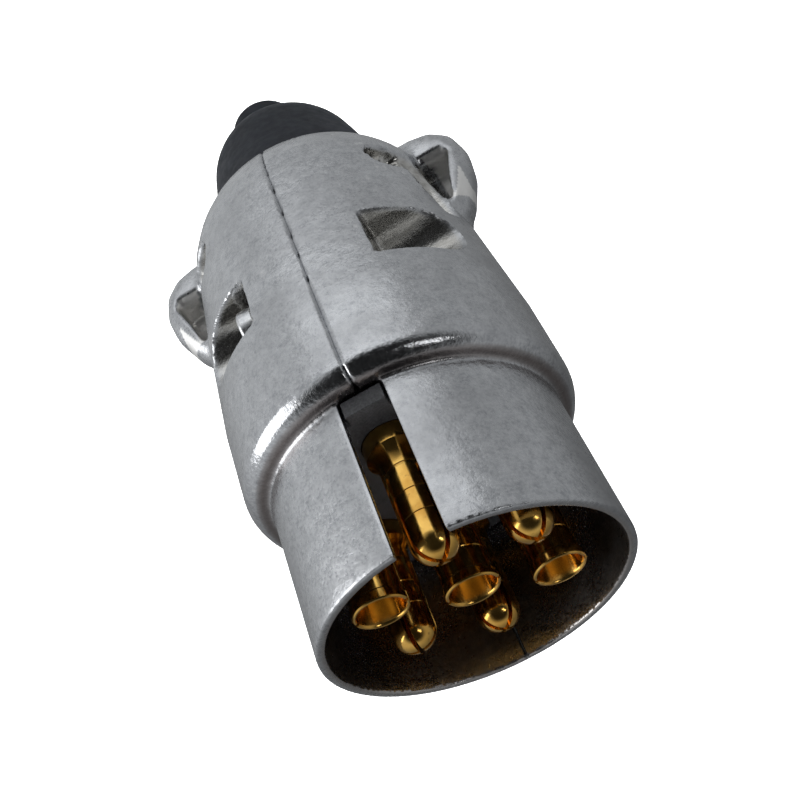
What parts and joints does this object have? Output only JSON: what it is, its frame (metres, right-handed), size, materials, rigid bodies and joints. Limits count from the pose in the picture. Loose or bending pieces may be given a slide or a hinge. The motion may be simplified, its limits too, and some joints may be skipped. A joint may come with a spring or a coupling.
{
  "type": "trailer wiring connector",
  "caption": "Trailer wiring plug with a split die-cast casing and ears, split pins and slit sleeves in a keyed collar, wire terminals, a cord clamp and a rubber boot.",
  "frame": {"origin": "centre of the collar's mouth", "axes": "+Y along the plug's axis to the cable end, +Z towards the keyway, the mouth faces -Y"},
  "size_m": [0.0524, 0.1036, 0.0448],
  "materials": {
    "cast_metal": "die-cast, satin, mottled",
    "carrier_plastic": "moulded, semi-matte",
    "contact_brass": "turned, polished",
    "zinc_steel": "bright zinc plated",
    "boot_rubber": "moulded, matte"
  },
  "bodies": {
    "plug": {"left_casing_half": "cast_metal", "contact_carrier": "carrier_plastic", "rubber_boot": "boot_rubber", "pin_contact_top": "contact_brass", "pin_contact_upper_right": "contact_brass", "pin_contact_bottom": "contact_brass", "pin_contact_lower_left": "contact_brass", "sleeve_contact_centre": "contact_brass", "sleeve_contact_lower_right": "contact_brass", "sleeve_contact_upper_left": "contact_brass"},
    "right_half": {"right_casing_half": "cast_metal"},
    "front_screw_upper": {"front_screw_upper": "zinc_steel", "front_washer_upper": "zinc_steel"},
    "front_screw_lower": {"front_screw_lower": "zinc_steel", "front_washer_lower": "zinc_steel"},
    "rear_screw_upper": {"rear_screw_upper": "zinc_steel"},
    "rear_screw_lower": {"rear_screw_lower": "zinc_steel"},
    "cord_clamp": {"clamp_bar": "zinc_steel", "clamp_screw_upper": "zinc_steel", "clamp_screw_lower": "zinc_steel"},
    "terminal_screw_top": {"terminal_screw_top": "zinc_steel"},
    "terminal_screw_upper_right": {"terminal_screw_upper_right": "zinc_steel"},
    "terminal_screw_lower_right": {"terminal_screw_lower_right": "zinc_steel"},
    "terminal_screw_bottom": {"terminal_screw_bottom": "zinc_steel"},
    "terminal_screw_lower_left": {"terminal_screw_lower_left": "zinc_steel"},
    "terminal_screw_upper_left": {"terminal_screw_upper_left": "zinc_steel"},
    "terminal_screw_centre": {"terminal_screw_centre": "zinc_steel"}
  },
  "joints": [
    {"name": "right_half_lifts_off", "type": "slide", "parent": "plug", "child": "right_half", "axis": [1, 0, 0], "range_m": [0, 0.028]},
    {"name": "front_screw_upper_backs_out", "type": "slide", "parent": "plug", "child": "front_screw_upper", "axis": [-1, 0, 0], "range_m": [0, 0.0085]},
    {"name": "front_screw_lower_backs_out", "type": "slide", "parent": "plug", "child": "front_screw_lower", "axis": [-1, 0, 0], "range_m": [0, 0.0085]},
    {"name": "rear_screw_upper_backs_out", "type": "slide", "parent": "plug", "child": "rear_screw_upper", "axis": [-1, 0, 0], "range_m": [0, 0.0085]},
    {"name": "rear_screw_lower_backs_out", "type": "slide", "parent": "plug", "child": "rear_screw_lower", "axis": [-1, 0, 0], "range_m": [0, 0.0085]},
    {"name": "cord_clamp_opens", "type": "slide", "parent": "plug", "child": "cord_clamp", "axis": [1, 0, 0], "range_m": [0, 0.003]},
    {"name": "terminal_screw_top_turns_in", "type": "slide", "parent": "plug", "child": "terminal_screw_top", "axis": [0, 0, -1], "range_m": [-0.0015, 0.001]},
    {"name": "terminal_screw_upper_right_turns_in", "type": "slide", "parent": "plug", "child": "terminal_screw_upper_right", "axis": [-0.866, 0, -0.5], "range_m": [-0.0015, 0.001]},
    {"name": "terminal_screw_lower_right_turns_in", "type": "slide", "parent": "plug", "child": "terminal_screw_lower_right", "axis": [-0.866, 0, 0.5], "range_m": [-0.0015, 0.001]},
    {"name": "terminal_screw_bottom_turns_in", "type": "slide", "parent": "plug", "child": "terminal_screw_bottom", "axis": [0, 0, 1], "range_m": [-0.0015, 0.001]},
    {"name": "terminal_screw_lower_left_turns_in", "type": "slide", "parent": "plug", "child": "terminal_screw_lower_left", "axis": [0.866, 0, 0.5], "range_m": [-0.0015, 0.001]},
    {"name": "terminal_screw_upper_left_turns_in", "type": "slide", "parent": "plug", "child": "terminal_screw_upper_left", "axis": [0.866, 0, -0.5], "range_m": [-0.0015, 0.001]},
    {"name": "terminal_screw_centre_turns_in", "type": "slide", "parent": "plug", "child": "terminal_screw_centre", "axis": [-1, 0, 0], "range_m": [-0.0015, 0.001]}
  ]
}
